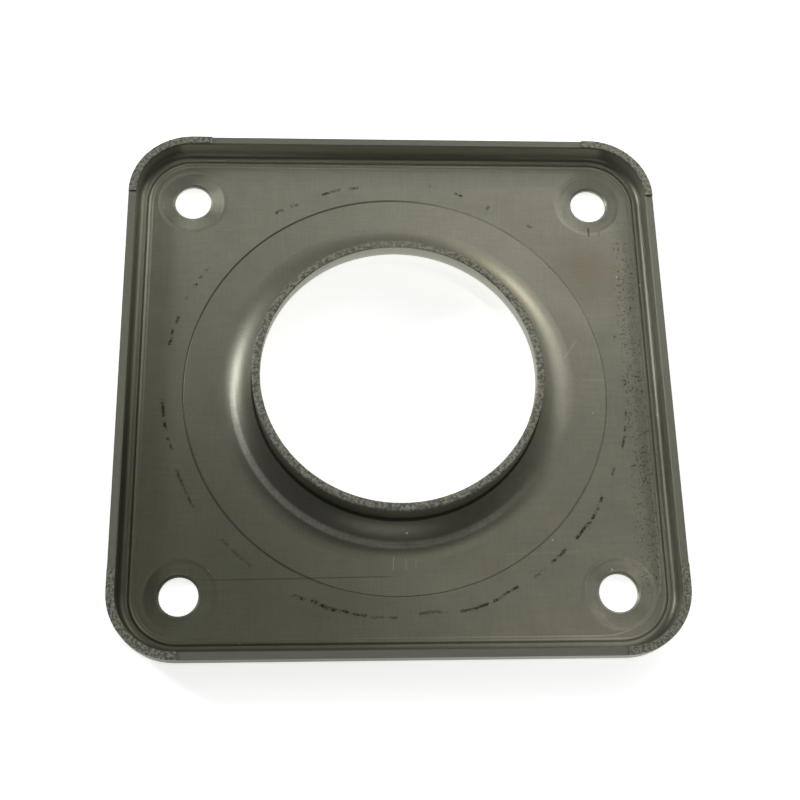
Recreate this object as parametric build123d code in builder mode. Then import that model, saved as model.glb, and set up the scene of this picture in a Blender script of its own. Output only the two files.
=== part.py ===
"""Square pressed-steel base flange for a round tube.

One piece of sheet: a flat floor with an upstanding rim all round, four bolt holes in
coined pads, and a flared neck drawn up through the middle for the tube.  The flat back
lies on Z = 0, the neck and the rim point along +Z, and the neck's axis is the Z axis.
All sizes are in millimetres.
"""
import os
from math import atan2, cos, radians, sin, tan

from build123d import *

# Sheet and plan
sheet = 1.8                  # thickness of the sheet
outer_size = 124.0           # across the outside of the rim
corner_radius = 14.6         # outside of the rim at a corner

# Rim
rim_height = 6.9             # back face to the cut end of the rim
rim_bend = 1.9               # inside radius of the bend between floor and rim
side_edge_break = 0.25       # worn inner edge of the rim's cut end, along the sides
corner_edge_break = 0.1      # the same round the corners
lip_height = 0.4             # how far the corners stand above the sides of the rim
# How far each corner's lip runs on along the side before and the side after it,
# anticlockwise from the +X +Y corner
lip_runs = ((0.0, 1.6), (4.4, 0.0), (4.7, 0.5), (0.0, 5.0))

# Ridge that the press leaves along the foot of the rim
ridge_width = 0.95
ridge_height = 0.2

# Field: the floor inside the ridge, pressed a little lower than its margin
field_depth = 0.1
field_margin = 0.25          # from the field's edge to the foot of the ridge
field_flank = 0.35           # width of the slope at the field's edge
worn_corner_extra = 4.0      # extra radius of the field at the +X -Y corner

# Neck
bore_diameter = 61.0
neck_wall = 1.8
neck_height = 12.95          # back face to the end of the neck, on its axis
neck_end_slope = 1.5         # degrees that the end leans, high on the -Y side
neck_edge_break = 0.25
crease_height = 7.4          # where the neck's straight outside meets the flare
crease_step = 0.15           # how far outside the neck the flare starts
bore_lead_radius = 10.3      # rounding between the bore and the back of the floor
flare_foot_radius = 40.8     # where the flare leaves the domed floor
dome_rise = 0.45             # rise of the floor from the die circle to the flare
die_circle_radius = 48.1     # ring left by the drawing die
die_groove_width = 0.6
die_groove_depth = 0.09

# Bolt holes
bolt_spacing = 95.0
bolt_hole_diameter = 8.5
bolt_hole_edge_width = 0.45  # drawn-in upper edge of each hole
bolt_hole_edge_height = 0.4
bolt_hole_break_height = 0.5 # torn lower part of each hole, where the punch broke through
bolt_hole_break_width = 0.3
pad_radius = 8.3             # coined pad round each hole
pad_depth = 0.12             # below the field
pad_flank = 1.0              # width of the slope at the pad's edge

# Worked out from the sizes above
half_size = outer_size / 2
half_straight = half_size - corner_radius
wall_face = half_size - sheet                # inner face of the rim
outer_bend = rim_bend + sheet
ridge_outside = wall_face - rim_bend         # where the ridge meets the bend
ridge_foot = ridge_outside - ridge_width
field_edge = ridge_foot - field_margin       # upper edge of the slope at the field's edge
field_level = sheet - field_depth
pad_level = field_level - pad_depth
bore_radius = bore_diameter / 2
neck_outside = bore_radius + neck_wall
hole_radius = bolt_hole_diameter / 2
overcut = 1.0                                # how far a cutting shape runs past a face

# The floor rises from the die circle towards the middle as a shallow cone, and its back
# rises with it as far as the bore, where a wide rounding turns it up into the neck
dome_slope = atan2(dome_rise, die_circle_radius - flare_foot_radius)
back_at_bore = Vector(bore_radius, (die_circle_radius - bore_radius) * tan(dome_slope))
# The upper side of the flare is an arc that leaves the cone smoothly and ends at the crease
foot = Vector(flare_foot_radius, field_level + dome_rise)
crease = Vector(neck_outside + crease_step, crease_height)
neck_rough_height = neck_height + half_size * tan(radians(neck_end_slope))


def side_plane(turn):
    """Upright plane across the middle of the side that faces the angle turn."""
    outwards = (cos(radians(turn)), sin(radians(turn)), 0)
    return Plane(origin=(0, 0, 0), x_dir=outwards, z_dir=(outwards[1], -outwards[0], 0))


def rim_section(height, edge_break):
    """The sheet's section from the axis of a corner outwards and up to the cut end."""
    with BuildSketch() as section:
        with BuildLine():
            Polyline(
                (ridge_foot, sheet),
                (half_straight, sheet),
                (half_straight, 0),
                (half_size - outer_bend, 0),
            )
            RadiusArc((half_size - outer_bend, 0), (half_size, outer_bend), -outer_bend)
            Polyline(
                (half_size, outer_bend),
                (half_size, height),
                (wall_face + edge_break, height),
                (wall_face, height - edge_break),
                (wall_face, sheet + rim_bend),
            )
            RadiusArc((wall_face, sheet + rim_bend), (ridge_outside, sheet), rim_bend)
            Polyline(
                (ridge_outside, sheet),
                (ridge_outside - ridge_width / 2, sheet + ridge_height),
                (ridge_foot, sheet),
            )
        make_face()
    return section.sketch


def field_outline(edge):
    """The pressed field's outline, edge away from the middle and wide at one corner."""
    radius = edge - half_straight
    with BuildSketch() as outline:
        with BuildLine():
            FilletPolyline(
                (edge, edge),
                (-edge, edge),
                (-edge, -edge),
                (edge, -edge),
                radius=(radius, radius, radius, radius + worn_corner_extra),
                close=True,
            )
        make_face()
    return outline.sketch


# What is taken away at each bolt hole: the pad's dish, and the hole with its drawn-in edge
with BuildPart() as bolt_hole:
    with BuildSketch(Plane.XZ):
        with BuildLine():
            Polyline(
                (hole_radius, pad_level - bolt_hole_edge_height),
                (hole_radius + bolt_hole_edge_width, pad_level),
                (pad_radius - pad_flank, pad_level),
                (pad_radius, field_level),
                (pad_radius, sheet + overcut),
                (0, sheet + overcut),
                (0, -overcut),
                (hole_radius + bolt_hole_break_width, -overcut),
                (hole_radius + bolt_hole_break_width, 0),
                (hole_radius, bolt_hole_break_height),
                close=True,
            )
        make_face()
    revolve(axis=Axis.Z)

with BuildPart() as base_flange:
    # Floor
    with BuildSketch():
        Rectangle(2 * half_straight, 2 * half_straight)
    extrude(amount=sheet)

    # Rim, each side and then the corner that follows it
    for number, (run_before, run_after) in enumerate(lip_runs):
        side_end = side_plane(90 * number).offset(-half_straight)
        next_side_start = side_plane(90 * number + 90).offset(half_straight)
        corner_axis = Axis(side_end.from_local_coords(Vector(half_straight, 0, 0)), (0, 0, 1))

        with BuildSketch(side_end):
            add(rim_section(rim_height, side_edge_break))
        extrude(amount=2 * half_straight)

        with BuildSketch(side_end):
            add(rim_section(rim_height + lip_height, corner_edge_break))
        revolve(axis=corner_axis, revolution_arc=90)

        for start, run in ((side_end, run_before), (next_side_start, -run_after)):
            if run != 0:
                with BuildSketch(start):
                    add(rim_section(rim_height + lip_height, corner_edge_break))
                extrude(amount=run)

    # Field
    for edge, level in ((field_edge - field_flank, field_level), (field_edge, sheet)):
        with BuildSketch(Plane.XY.offset(level)):
            add(field_outline(edge))
    loft(mode=Mode.SUBTRACT)

    # Domed floor, flare and neck, solid down to the back
    with BuildSketch(Plane.XZ):
        with BuildLine():
            Line((die_circle_radius, field_level), foot)
            TangentArc(foot, crease, tangent=(-cos(dome_slope), sin(dome_slope)))
            Polyline(
                crease,
                (neck_outside, crease_height),
                (neck_outside, neck_rough_height),
                (0, neck_rough_height),
                (0, 0),
                (die_circle_radius, 0),
                (die_circle_radius, field_level),
            )
        make_face()
    revolve(axis=Axis.Z)

    # Bore, and the hollow back of the flare
    with BuildSketch(Plane.XZ):
        with BuildLine():
            Polyline(
                (die_circle_radius, 0),
                back_at_bore,
                (bore_radius, neck_rough_height + overcut),
                (0, neck_rough_height + overcut),
                (0, -overcut),
                (die_circle_radius, -overcut),
                close=True,
            )
        make_face()
        fillet(vertices().sort_by_distance(back_at_bore)[0], bore_lead_radius)
    revolve(axis=Axis.Z, mode=Mode.SUBTRACT)

    # Leaning cut end of the neck, with its edges broken
    split(bisect_by=Plane((0, 0, neck_height)).rotated((-neck_end_slope, 0, 0)), keep=Keep.BOTTOM)
    chamfer(faces().sort_by(Axis.Z)[-1].edges(), neck_edge_break)

    # Ring left by the drawing die
    with BuildSketch(Plane.XZ):
        with BuildLine():
            Polyline(
                (die_circle_radius - die_groove_width / 2, sheet),
                (die_circle_radius, field_level - die_groove_depth),
                (die_circle_radius + die_groove_width / 2, field_level),
                (die_circle_radius + die_groove_width / 2, sheet),
                close=True,
            )
        make_face()
    revolve(axis=Axis.Z, mode=Mode.SUBTRACT)

    # Bolt holes and their pads
    with GridLocations(bolt_spacing, bolt_spacing, 2, 2):
        add(bolt_hole.part, mode=Mode.SUBTRACT)

base_flange.part.label = "base_flange"
os.makedirs("parts", exist_ok=True)
export_step(base_flange.part, "parts/base_flange.step")
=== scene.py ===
"""Looks of a square pressed-steel base flange for a round tube: bare, oily, used steel.

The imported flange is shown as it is, in one steel finish.  Two shared effects carry its marks:
one says where on the flange a point lies, the other is the grain of rolled sheet.  Sizes in
the finish are millimetres.  The camera, the lights and the floor are in metres.
"""

from math import radians

import bpy
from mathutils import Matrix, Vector


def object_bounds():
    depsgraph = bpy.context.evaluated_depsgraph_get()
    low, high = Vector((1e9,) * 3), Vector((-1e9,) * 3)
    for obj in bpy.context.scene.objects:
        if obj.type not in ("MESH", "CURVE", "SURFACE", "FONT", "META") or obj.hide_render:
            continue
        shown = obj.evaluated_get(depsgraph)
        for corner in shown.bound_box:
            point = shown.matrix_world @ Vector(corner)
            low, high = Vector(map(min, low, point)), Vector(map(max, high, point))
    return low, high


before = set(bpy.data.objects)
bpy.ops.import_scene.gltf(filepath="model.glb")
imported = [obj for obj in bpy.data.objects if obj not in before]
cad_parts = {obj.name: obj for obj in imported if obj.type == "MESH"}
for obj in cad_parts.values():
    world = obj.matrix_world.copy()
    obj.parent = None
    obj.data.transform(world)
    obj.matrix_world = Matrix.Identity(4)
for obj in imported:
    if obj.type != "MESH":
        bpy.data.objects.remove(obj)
cad_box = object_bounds()
scene = bpy.context.scene
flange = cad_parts["base_flange"]

MM_IN_METRE = 1000.0

# Sizes of the flange that its finish follows
SHEET = 1.8
NECK_WALL = 1.8
CORNER_RADIUS = 14.6
BORE_RADIUS = 30.5
HALF_WIDTH = cad_box[1][0] * MM_IN_METRE
HALF_STRAIGHT = HALF_WIDTH - CORNER_RADIUS  # middle of a side to the start of its corner
RIM_INSIDE = HALF_WIDTH - SHEET
NECK_OUTSIDE = BORE_RADIUS + NECK_WALL
RIM_END_HEIGHT = 6.9
NECK_END_LOW = 12.1        # where the neck's leaning end is lowest
HOLE_PLACE = 47.5          # from the middle to a bolt hole, along X and along Y
PAD_RADIUS = 8.3

# Rings round the neck: a painted highlight on the flare, and two rings that the press left
FLARE_HIGHLIGHT_RADIUS = 37.0
DIE_RING = 48.1
DRAW_MARK_RADIUS = 52.6

# Rubbed marks round the neck: from and to, in degrees from +X anticlockwise, and how dark
DRAW_MARKS = (
    (1.0, 2.6, 0.9), (12.8, 14.6, 0.8), (50.6, 52.4, 0.5), (71.2, 73.4, 1.0), (78.8, 80.2, 0.6),
    (98.9, 101.5, 0.7), (103.5, 108.8, 0.9), (115.3, 118.0, 0.6), (119.8, 122.1, 0.8),
    (145.2, 146.6, 0.9), (148.0, 149.0, 0.7), (150.4, 151.8, 1.0), (154.2, 156.0, 0.8),
    (159.6, 162.6, 0.8), (164.0, 168.6, 0.95), (183.0, 187.5, 0.9), (188.4, 191.4, 1.0),
    (193.0, 196.4, 0.9), (201.5, 212.0, 0.6), (222.0, 232.0, 0.35), (243.4, 247.0, 0.8),
    (248.4, 262.0, 0.95), (262.8, 269.0, 0.6), (274.2, 281.0, 0.5), (284.0, 299.0, 0.95),
    (303.5, 307.0, 0.6), (309.0, 314.4, 0.85), (317.6, 330.4, 1.0), (336.4, 338.6, 0.6),
    (344.0, 350.0, 0.9), (351.5, 354.0, 0.5),
)

# Scratches on the floor: X, Y, length, half its width, turn in degrees, and tone, below
# nothing where it is dark
SCRATCHES = (
    (-22.0, -43.9, 44.0, 0.2, 0.6, -0.45),
    (47.0, 40.2, 2.6, 0.4, 90.0, -0.6),
    (49.5, 39.8, 1.8, 0.3, 90.0, -0.3),
    (31.0, -38.6, 20.0, 0.25, 2.0, 0.13),
    (40.5, 9.5, 6.5, 0.25, 55.0, 0.25),
    (45.5, 2.0, 6.0, 0.25, 0.0, 0.18),
    (23.0, 46.5, 1.4, 0.5, 60.0, -0.5),
    (-1.5, -40.8, 3.4, 0.2, 88.0, 0.35),
    (1.2, -41.0, 2.8, 0.15, 92.0, 0.3),
    (3.4, -40.9, 2.2, 0.2, 86.0, 0.25),
)

# Colours of the bare metal, with painted light among them
STEEL = (0.300, 0.304, 0.246, 1.0)
PALE_STEEL = (0.365, 0.360, 0.290, 1.0)
# painted light on the +Y wall
WALL_LIGHT_TINT = (0.80, 0.77, 0.62, 1.0)
# painted highlight on the flare
FLARE_HIGHLIGHT_TINT = (0.95, 0.94, 0.84, 1.0)
SCRATCHED_STEEL = (0.70, 0.69, 0.60, 1.0)
SPECK_STEEL = (0.85, 0.85, 0.78, 1.0)
CUT_STEEL = (0.235, 0.24, 0.20, 1.0)
TORN_HOLLOW = (0.07, 0.07, 0.055, 1.0)
TORN_CREST = (0.46, 0.46, 0.39, 1.0)

# Colours of what lies on it, with painted shade among them
# painted shade towards the -X -Y corner
CORNER_SHADE_TINT = (0.36, 0.37, 0.33, 1.0)
BROWN_STAIN = (0.27, 0.215, 0.15, 1.0)
PIT_DIRT = (0.04, 0.04, 0.032, 1.0)
# darker colour in the die's ring
DIE_RING_DARK = (0.07, 0.07, 0.055, 1.0)
SCRATCH_DIRT = (0.03, 0.03, 0.025, 1.0)
# painted shade in the rim's bend and the neck's crease
CREASE_SHADE_TINT = (0.03, 0.028, 0.02, 1.0)
BLACK_METAL = (0.015, 0.015, 0.013, 1.0)

METALLIC = 0.6
ROUGHNESS = 0.37
BUMP_DISTANCE = 0.00002

# Camera, in metres, millimetres of lens, and radians
CAMERA_PLACE = (-0.017256, -0.10826, 0.28248)
CAMERA_TURN = (0.359, -0.060, 0.0)
LENS_LENGTH = 59.6
SENSOR_WIDTH = 36.0

FLOOR_WIDTH = 4.0
PAPER_COLOUR = (0.92, 0.92, 0.92, 1.0)
PAPER_ROUGHNESS = 0.9
PAPER_GLOW = 0.75          # the floor glows a little, as a light table does
WHITE = (1.0, 1.0, 1.0, 1.0)


class Wiring:
    """Adds nodes to one shader tree.  Every method but feed gives back what it made."""

    def __init__(self, tree):
        self.tree = tree

    def add(self, kind, **settings):
        made = self.tree.nodes.new(kind)
        for name, value in settings.items():
            setattr(made, name, value)
        return made

    def feed(self, socket, value):
        if isinstance(value, bpy.types.NodeSocket):
            self.tree.links.new(value, socket)
        else:
            socket.default_value = value

    def math(self, operation, *values, clamp=False):
        made = self.add("ShaderNodeMath", operation=operation, use_clamp=clamp)
        for socket, value in zip(made.inputs, values):
            self.feed(socket, value)
        return made.outputs[0]

    def times(self, *values):
        product = values[0]
        for value in values[1:]:
            product = self.math("MULTIPLY", product, value)
        return product

    def plus(self, *values):
        total = values[0]
        for value in values[1:]:
            total = self.math("ADD", total, value)
        return total

    def length(self, across, along):
        return self.math("SQRT", self.plus(self.times(across, across), self.times(along, along)))

    def ramp(self, value, start, end, low=0.0, high=1.0):
        """Rises smoothly from low at start to high at end; start may be the larger."""
        made = self.add("ShaderNodeMapRange", interpolation_type="SMOOTHSTEP")
        for name, number in (("Value", value), ("From Min", start), ("From Max", end),
                             ("To Min", low), ("To Max", high)):
            self.feed(made.inputs[name], number)
        return made.outputs[0]

    def band(self, value, low, high, soft):
        """One between low and high, falling to nothing over soft outside them."""
        return self.times(self.ramp(value, low - soft, low), self.ramp(value, high + soft, high))

    def noise(self, place, scale, detail=2.0, roughness=0.5):
        made = self.add("ShaderNodeTexNoise")
        self.feed(made.inputs["Vector"], place)
        self.feed(made.inputs["Scale"], scale)
        self.feed(made.inputs["Detail"], detail)
        self.feed(made.inputs["Roughness"], roughness)
        return made.outputs[0]

    def spots(self, place, scale, size):
        """Small round spots, one in the middle of each, fading to nothing at size."""
        made = self.add("ShaderNodeTexVoronoi")
        self.feed(made.inputs["Vector"], place)
        self.feed(made.inputs["Scale"], scale)
        return self.ramp(made.outputs["Distance"], size, size * 0.4)

    def stretch(self, place, scale):
        made = self.add("ShaderNodeMapping")
        self.feed(made.inputs["Vector"], place)
        made.inputs["Scale"].default_value = scale
        return made.outputs[0]

    def blend(self, amount, first, second, how="MIX"):
        made = self.add("ShaderNodeMix", data_type="RGBA", blend_type=how)
        self.feed(made.inputs[0], amount)
        self.feed(made.inputs[6], first)
        self.feed(made.inputs[7], second)
        return made.outputs[2]

    def cover(self, colour, mask, strength, layer):
        """The colour with a layer over it where the mask is, as thick as its strength."""
        return self.blend(self.times(mask, strength), colour, layer)


def effect(name, inputs, outputs):
    """An empty shared effect, with inputs that take a place and outputs that give a value."""
    group = bpy.data.node_groups.new(name, "ShaderNodeTree")
    for label in inputs:
        group.interface.new_socket(label, in_out="INPUT", socket_type="NodeSocketVector")
    for label in outputs:
        group.interface.new_socket(label, in_out="OUTPUT", socket_type="NodeSocketFloat")
    wires = Wiring(group)
    return wires, wires.add("NodeGroupInput").outputs, wires.add("NodeGroupOutput").inputs


def use(wires, group, **values):
    made = wires.add("ShaderNodeGroup", node_tree=group)
    for name, value in values.items():
        wires.feed(made.inputs[name], value)
    return made.outputs


def places_effect():
    """Where a point lies: its place, distance from the axis, reach past the straight sides."""
    wires, _, gives = effect(
        "places", (), ("x", "y", "z", "from axis", "angle", "reach", "from hole"))
    split = wires.add("ShaderNodeSeparateXYZ")
    wires.feed(split.inputs[0], wires.add("ShaderNodeTexCoord").outputs["Object"])
    x, y, z = (wires.times(axis, MM_IN_METRE) for axis in split.outputs)

    side_x = wires.math("ABSOLUTE", x)
    side_y = wires.math("ABSOLUTE", y)
    past_x = wires.math("MAXIMUM", wires.math("SUBTRACT", side_x, HALF_STRAIGHT), 0.0)
    past_y = wires.math("MAXIMUM", wires.math("SUBTRACT", side_y, HALF_STRAIGHT), 0.0)
    turn = wires.math("DEGREES", wires.math("ARCTAN2", y, x))
    results = {
        "x": x, "y": y, "z": z, "from axis": wires.length(x, y),
        "angle": wires.math("WRAP", turn, 360.0, 0.0),
        "reach": wires.length(past_x, past_y),
        "from hole": wires.length(wires.math("SUBTRACT", side_x, HOLE_PLACE),
                                  wires.math("SUBTRACT", side_y, HOLE_PLACE)),
    }
    for name, socket in results.items():
        wires.feed(gives[name], socket)
    return wires.tree


def rolled_grain_effect():
    """Fine marks of the rolls, along X and across, with the slow cloudiness of bare sheet."""
    wires, given, gives = effect("rolled_grain", ("place",), ("tone", "height", "cloud"))
    place = given["place"]
    along = wires.noise(wires.stretch(place, (160.0, 2400.0, 900.0)), 1.0, 3.0, 0.6)
    across = wires.noise(wires.stretch(place, (2600.0, 190.0, 900.0)), 1.0, 3.0, 0.6)
    speck = wires.noise(place, 2600.0, 2.0, 0.6)
    cloud = wires.noise(place, 46.0, 4.0, 0.55)
    patch = wires.noise(place, 190.0, 3.0, 0.6)
    lines = wires.plus(wires.times(along, 0.5), wires.times(across, 0.5))
    tone = wires.plus(wires.times(lines, 0.55), wires.times(speck, 0.25), wires.times(patch, 0.2))
    height = wires.plus(wires.times(lines, 0.6), wires.times(speck, 0.4))
    wires.feed(gives["tone"], tone)
    wires.feed(gives["height"], height)
    wires.feed(gives["cloud"], cloud)
    return wires.tree


def brown_stain(wires, at, sheet):
    """A stain of rust and old oil on the floor, in its +X +Y corner."""
    middle_x, middle_y, radius = 45.0, 29.0, 13.0
    reach = wires.length(wires.math("SUBTRACT", at["x"], middle_x),
                         wires.math("SUBTRACT", at["y"], middle_y))
    return wires.times(wires.ramp(reach, radius, 1.0), wires.ramp(sheet["cloud"], 0.3, 0.6))


def pitted_strip(wires, at, place):
    """Dotted pits beside the +X side of the rim, through to the back."""
    beside = wires.times(wires.band(at["x"], 53.0, 56.6, 1.6), wires.band(at["y"], -44.0, 34.0, 8.0))
    return wires.times(wires.ramp(wires.noise(place, 1900.0, 2.0, 0.6), 0.56, 0.66), beside)


def painted_wall_light(wires, at):
    """Painted light that lightens the +Y wall above its bend.  The mask takes in both of its faces.
    """
    at_wall = wires.ramp(at["y"], RIM_INSIDE - 0.6, RIM_INSIDE - 0.1)
    below_end = wires.ramp(at["z"], RIM_END_HEIGHT - 0.1, RIM_END_HEIGHT - 0.4)
    above_bend = wires.ramp(at["z"], 2.4, 3.8)
    return wires.times(at_wall, below_end, above_bend)


def painted_flare_highlight(wires, at, sheet):
    """A painted highlight on a ring of the flare, most on its -Y side, where the die also left the
    ring a little smoother.
    """
    ring = wires.band(at["from axis"], FLARE_HIGHLIGHT_RADIUS - 0.25, FLARE_HIGHLIGHT_RADIUS + 0.35, 0.7)
    round_it = wires.band(at["angle"], 205.0, 300.0, 30.0)
    outside = wires.ramp(at["z"], 1.9, 2.1)
    grain = wires.ramp(sheet["tone"], 0.3, 0.7, 0.35, 1.0)
    return wires.times(ring, round_it, outside, grain)


def darkened_die_ring(wires, at):
    """The die's ring is darker on its -X and +Y sides."""
    ring = wires.band(at["from axis"], DIE_RING - 0.12, DIE_RING + 0.22, 0.12)
    round_it = wires.band(at["angle"], 95.0, 235.0, 25.0)
    return wires.times(ring, round_it, wires.ramp(at["z"], 1.0, 1.3))


def draw_marks(wires, at, place):
    """Dashes of black metal on a ring round the neck, torn up by the sheet's grain."""
    wander = wires.times(wires.math("SUBTRACT", wires.noise(place, 75.0, 2.0), 0.5), 3.4)
    ring = wires.plus(at["from axis"], wander)
    near = wires.band(ring, DRAW_MARK_RADIUS - 0.12, DRAW_MARK_RADIUS + 0.12, 0.4)
    dashes = 0.0
    for start, end, darkness in DRAW_MARKS:
        here = wires.math("COMPARE", at["angle"], (start + end) / 2, (end - start) / 2)
        dashes = wires.plus(dashes, wires.times(here, darkness))
    torn = wires.ramp(wires.noise(place, 900.0, 3.0, 0.75), 0.40, 0.56)
    return wires.times(near, dashes, torn)


def scratch_tones(wires, at):
    """Sum of all scratches on the upper side: dark ones count down, bright ones up."""
    spot = wires.add("ShaderNodeCombineXYZ")
    wires.feed(spot.inputs[0], at["x"])
    wires.feed(spot.inputs[1], at["y"])
    total = 0.0
    for x, y, length, half_width, turn, tone in SCRATCHES:
        line = wires.add("ShaderNodeMapping", vector_type="TEXTURE")
        wires.feed(line.inputs["Vector"], spot.outputs[0])
        line.inputs["Location"].default_value = (x, y, 0.0)
        line.inputs["Rotation"].default_value = (0.0, 0.0, radians(turn))
        split = wires.add("ShaderNodeSeparateXYZ")
        wires.feed(split.inputs[0], line.outputs[0])
        ends = wires.ramp(wires.math("ABSOLUTE", split.outputs[0]), length / 2, length / 2 * 0.8)
        sides = wires.ramp(wires.math("ABSOLUTE", split.outputs[1]), half_width, half_width * 0.3)
        total = wires.plus(total, wires.times(ends, sides, tone))
    on_floor = wires.times(wires.ramp(at["z"], 7.0, 5.0), wires.ramp(at["z"], 0.8, 1.2))
    return wires.times(total, on_floor)


def bright_specks(wires, place):
    """Small bright specks, in loose groups all over."""
    groups = wires.ramp(wires.noise(place, 70.0), 0.52, 0.56)
    return wires.times(wires.spots(place, 150.0, 0.055), groups)


def painted_crease_shade(wires, at):
    """Painted shade in the bend at the foot of the rim and in the crease round the neck."""
    bend = wires.times(wires.band(at["reach"], 11.6, 12.7, 0.6), wires.ramp(at["z"], 4.6, 2.6))
    crease = wires.times(wires.band(at["from axis"], NECK_OUTSIDE, NECK_OUTSIDE + 0.5, 0.25),
                         wires.band(at["z"], 7.0, 7.7, 0.3))
    return wires.math("MAXIMUM", wires.times(bend, 0.45), wires.times(crease, 0.9))


def cut_ends(wires, at, mottle):
    """The cut ends of the rim and the neck: where they are, and their colour.

    The neck and the rim's corner lips are torn and mottled, the straight sides are plainer.
    """
    rim_end = wires.times(wires.ramp(at["z"], RIM_END_HEIGHT - 0.35, RIM_END_HEIGHT - 0.2),
                          wires.ramp(at["from axis"], 50.0, 51.0))
    neck_end = wires.times(wires.ramp(at["from axis"], NECK_OUTSIDE + 0.1, NECK_OUTSIDE - 0.1),
                           wires.ramp(at["z"], NECK_END_LOW - 0.1, NECK_END_LOW + 0.1))
    lips = wires.ramp(at["z"], RIM_END_HEIGHT + 0.1, RIM_END_HEIGHT + 0.3)
    torn = wires.math("MAXIMUM", neck_end, lips)
    torn_colour = wires.blend(wires.ramp(mottle, 0.40, 0.60), TORN_HOLLOW, TORN_CREST)
    colour = wires.cover(CUT_STEEL, torn, 0.7, torn_colour)
    return wires.math("MAXIMUM", rim_end, neck_end), colour


def turned_pads(wires, at):
    """Height of the fine rings that the coining tool left on the pads round the holes."""
    on_pad = wires.times(wires.ramp(at["from hole"], PAD_RADIUS - 0.6, PAD_RADIUS - 1.2),
                         wires.ramp(at["z"], 1.3, 1.5))
    rings = wires.add("ShaderNodeTexNoise", noise_dimensions="1D")
    wires.feed(rings.inputs["W"], wires.times(at["from hole"], 3.4))
    rings.inputs["Detail"].default_value = 2.0
    return wires.times(on_pad, rings.outputs[0])


def used_bare_steel(places, grain):
    steel = bpy.data.materials.new("used_bare_steel")
    steel.use_nodes = True
    wires = Wiring(steel.node_tree)
    shader = steel.node_tree.nodes["Principled BSDF"]
    place = wires.add("ShaderNodeTexCoord").outputs["Object"]
    at = use(wires, places)
    sheet = use(wires, grain, place=place)

    # Clean sheet, then painted shade that darkens it towards the -X -Y corner
    colour = wires.blend(sheet["cloud"], STEEL, PALE_STEEL)
    tone = wires.ramp(sheet["tone"], 0.3, 0.7, 0.89, 1.11)
    colour = wires.blend(1.0, colour, tone, "MULTIPLY")
    corner_shade = wires.ramp(wires.plus(at["x"], at["y"]), 10.0, -92.0)
    colour = wires.blend(corner_shade, colour, wires.blend(1.0, colour, CORNER_SHADE_TINT, "MULTIPLY"))

    # What the press, damp and old dirt left on it, with painted light on the +Y wall and a painted
    # highlight on the flare
    pits = pitted_strip(wires, at, place)
    flare_highlight = painted_flare_highlight(wires, at, sheet)
    colour = wires.cover(colour, brown_stain(wires, at, sheet), 0.55, BROWN_STAIN)
    colour = wires.cover(colour, pits, 0.65, PIT_DIRT)
    colour = wires.cover(colour, painted_wall_light(wires, at), 0.8, WALL_LIGHT_TINT)
    colour = wires.cover(colour, flare_highlight, 0.75, FLARE_HIGHLIGHT_TINT)
    colour = wires.cover(colour, darkened_die_ring(wires, at), 0.85, DIE_RING_DARK)

    # Marks of its use, and painted shade in the rim's bend and the neck's crease
    rubbed = draw_marks(wires, at, place)
    scratches = scratch_tones(wires, at)
    dark_scratches = wires.math("MULTIPLY", scratches, -1.0, clamp=True)
    light_scratches = wires.math("MULTIPLY", scratches, 1.0, clamp=True)
    colour = wires.cover(colour, rubbed, 0.9, BLACK_METAL)
    colour = wires.blend(dark_scratches, colour, SCRATCH_DIRT)
    colour = wires.cover(colour, light_scratches, 0.8, SCRATCHED_STEEL)
    colour = wires.cover(colour, bright_specks(wires, place), 0.8, SPECK_STEEL)
    # painted shade in the rim's bend and the neck's crease
    colour = wires.blend(painted_crease_shade(wires, at), colour, CREASE_SHADE_TINT)

    mottle = wires.noise(place, 1500.0, 3.0, 0.7)
    cut, cut_colour = cut_ends(wires, at, mottle)
    colour = wires.cover(colour, cut, 0.85, cut_colour)

    rough = wires.plus(ROUGHNESS, wires.times(sheet["cloud"], 0.10), wires.times(cut, 0.12),
                       wires.times(rubbed, 0.3), wires.times(flare_highlight, -0.1))
    height = wires.plus(sheet["height"], wires.times(cut, mottle, 5.0),
                        wires.times(turned_pads(wires, at), 3.0), wires.times(pits, -1.5),
                        wires.times(scratches, 1.5))
    bump = wires.add("ShaderNodeBump")
    bump.inputs["Distance"].default_value = BUMP_DISTANCE
    bump.inputs["Strength"].default_value = 1.0
    wires.feed(bump.inputs["Height"], height)

    wires.feed(shader.inputs["Base Color"], colour)
    wires.feed(shader.inputs["Roughness"], rough)
    wires.feed(shader.inputs["Normal"], bump.outputs[0])
    shader.inputs["Metallic"].default_value = METALLIC
    return steel


def take_view():
    """The camera stands over the near side and looks down into the tray."""
    lens = bpy.data.cameras.new("camera")
    lens.sensor_width = SENSOR_WIDTH
    lens.lens = LENS_LENGTH
    camera = bpy.data.objects.new("camera", lens)
    scene.collection.objects.link(camera)
    camera.location = CAMERA_PLACE
    camera.rotation_mode = "ZYX"
    camera.rotation_euler = CAMERA_TURN
    scene.camera = camera


def softbox(name, place, size, power, tint=(1.0, 1.0, 1.0), turn=None):
    """A flat light at place that shines on the flange, or straight down if its turn is given."""
    lamp = bpy.data.lights.new(name, "AREA")
    lamp.shape = "RECTANGLE"
    lamp.size, lamp.size_y = size
    lamp.energy = power
    lamp.color = tint
    holder = bpy.data.objects.new(name, lamp)
    scene.collection.objects.link(holder)
    holder.location = place
    if turn is None:
        holder.rotation_euler = Vector(place).to_track_quat("Z", "Y").to_euler()
    else:
        holder.rotation_euler = (0.0, 0.0, radians(turn))


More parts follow.
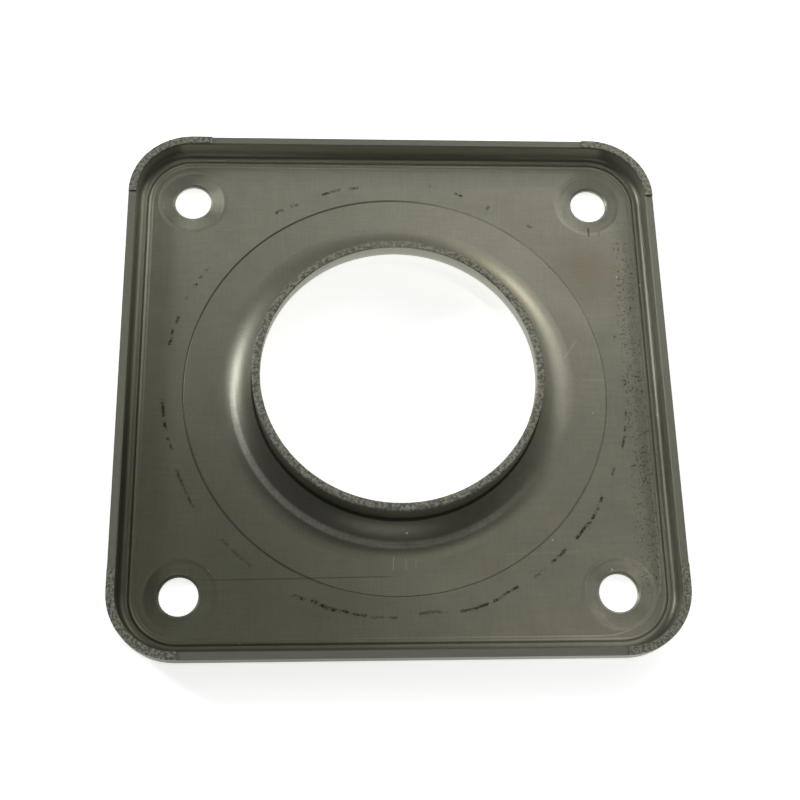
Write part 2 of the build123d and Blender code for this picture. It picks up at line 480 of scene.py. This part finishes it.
def light_room():
    """A plain room that is brighter at the far side than behind the viewer."""
    world = bpy.data.worlds.new("studio")
    scene.world = world
    world.use_nodes = True
    wires = Wiring(world.node_tree)
    split = wires.add("ShaderNodeSeparateXYZ")
    wires.feed(split.inputs[0], wires.add("ShaderNodeTexCoord").outputs["Generated"])
    sky = world.node_tree.nodes["Background"]
    wires.feed(sky.inputs["Strength"], wires.ramp(split.outputs[1], -0.3, 0.7, 0.07, 0.15))


def hang_lights():
    warm_white = (1.0, 0.98, 0.94)
    pale_yellow = (1.0, 0.93, 0.8)
    amber = (1.0, 0.9, 0.72)
    softbox("low_window", place=(-0.39, 0.19, 0.19), size=(0.07, 0.07), power=0.8)
    softbox("ceiling_panel", place=(0.18, 0.62, 0.78), size=(0.5, 0.5), power=0.9)
    softbox("wall_panel", place=(0.72, 0.48, 0.50), size=(0.6, 0.6), power=2.1)
    softbox("front_card", place=(-0.05, -0.80, 0.24), size=(0.5, 0.3), power=0.55)
    softbox("bench_tube", place=(-0.15, 0.12, 0.90), size=(0.85, 0.03), power=0.7,
            tint=warm_white, turn=-39.0)
    softbox("bench_lamp", place=(0.15, -0.13, 0.88), size=(0.06, 0.06), power=0.3,
            tint=pale_yellow)
    softbox("far_lamp", place=(0.535, 0.724, 0.44), size=(0.05, 0.05), power=1.3,
            tint=amber)


def lay_floor():
    bpy.ops.object.select_all(action="DESELECT")
    bpy.ops.mesh.primitive_plane_add(size=FLOOR_WIDTH, location=(0.0, 0.0, cad_box[0][2]))
    floor = bpy.context.object
    floor.name = "floor"
    paper = bpy.data.materials.new("white_paper")
    paper.use_nodes = True
    shader = paper.node_tree.nodes["Principled BSDF"]
    shader.inputs["Base Color"].default_value = PAPER_COLOUR
    shader.inputs["Roughness"].default_value = PAPER_ROUGHNESS
    shader.inputs["Emission Color"].default_value = WHITE
    shader.inputs["Emission Strength"].default_value = PAPER_GLOW
    floor.data.materials.append(paper)


take_view()
light_room()
hang_lights()
lay_floor()
scene.view_settings.view_transform = "Standard"
flange.data.materials.clear()
flange.data.materials.append(used_bare_steel(places_effect(), rolled_grain_effect()))
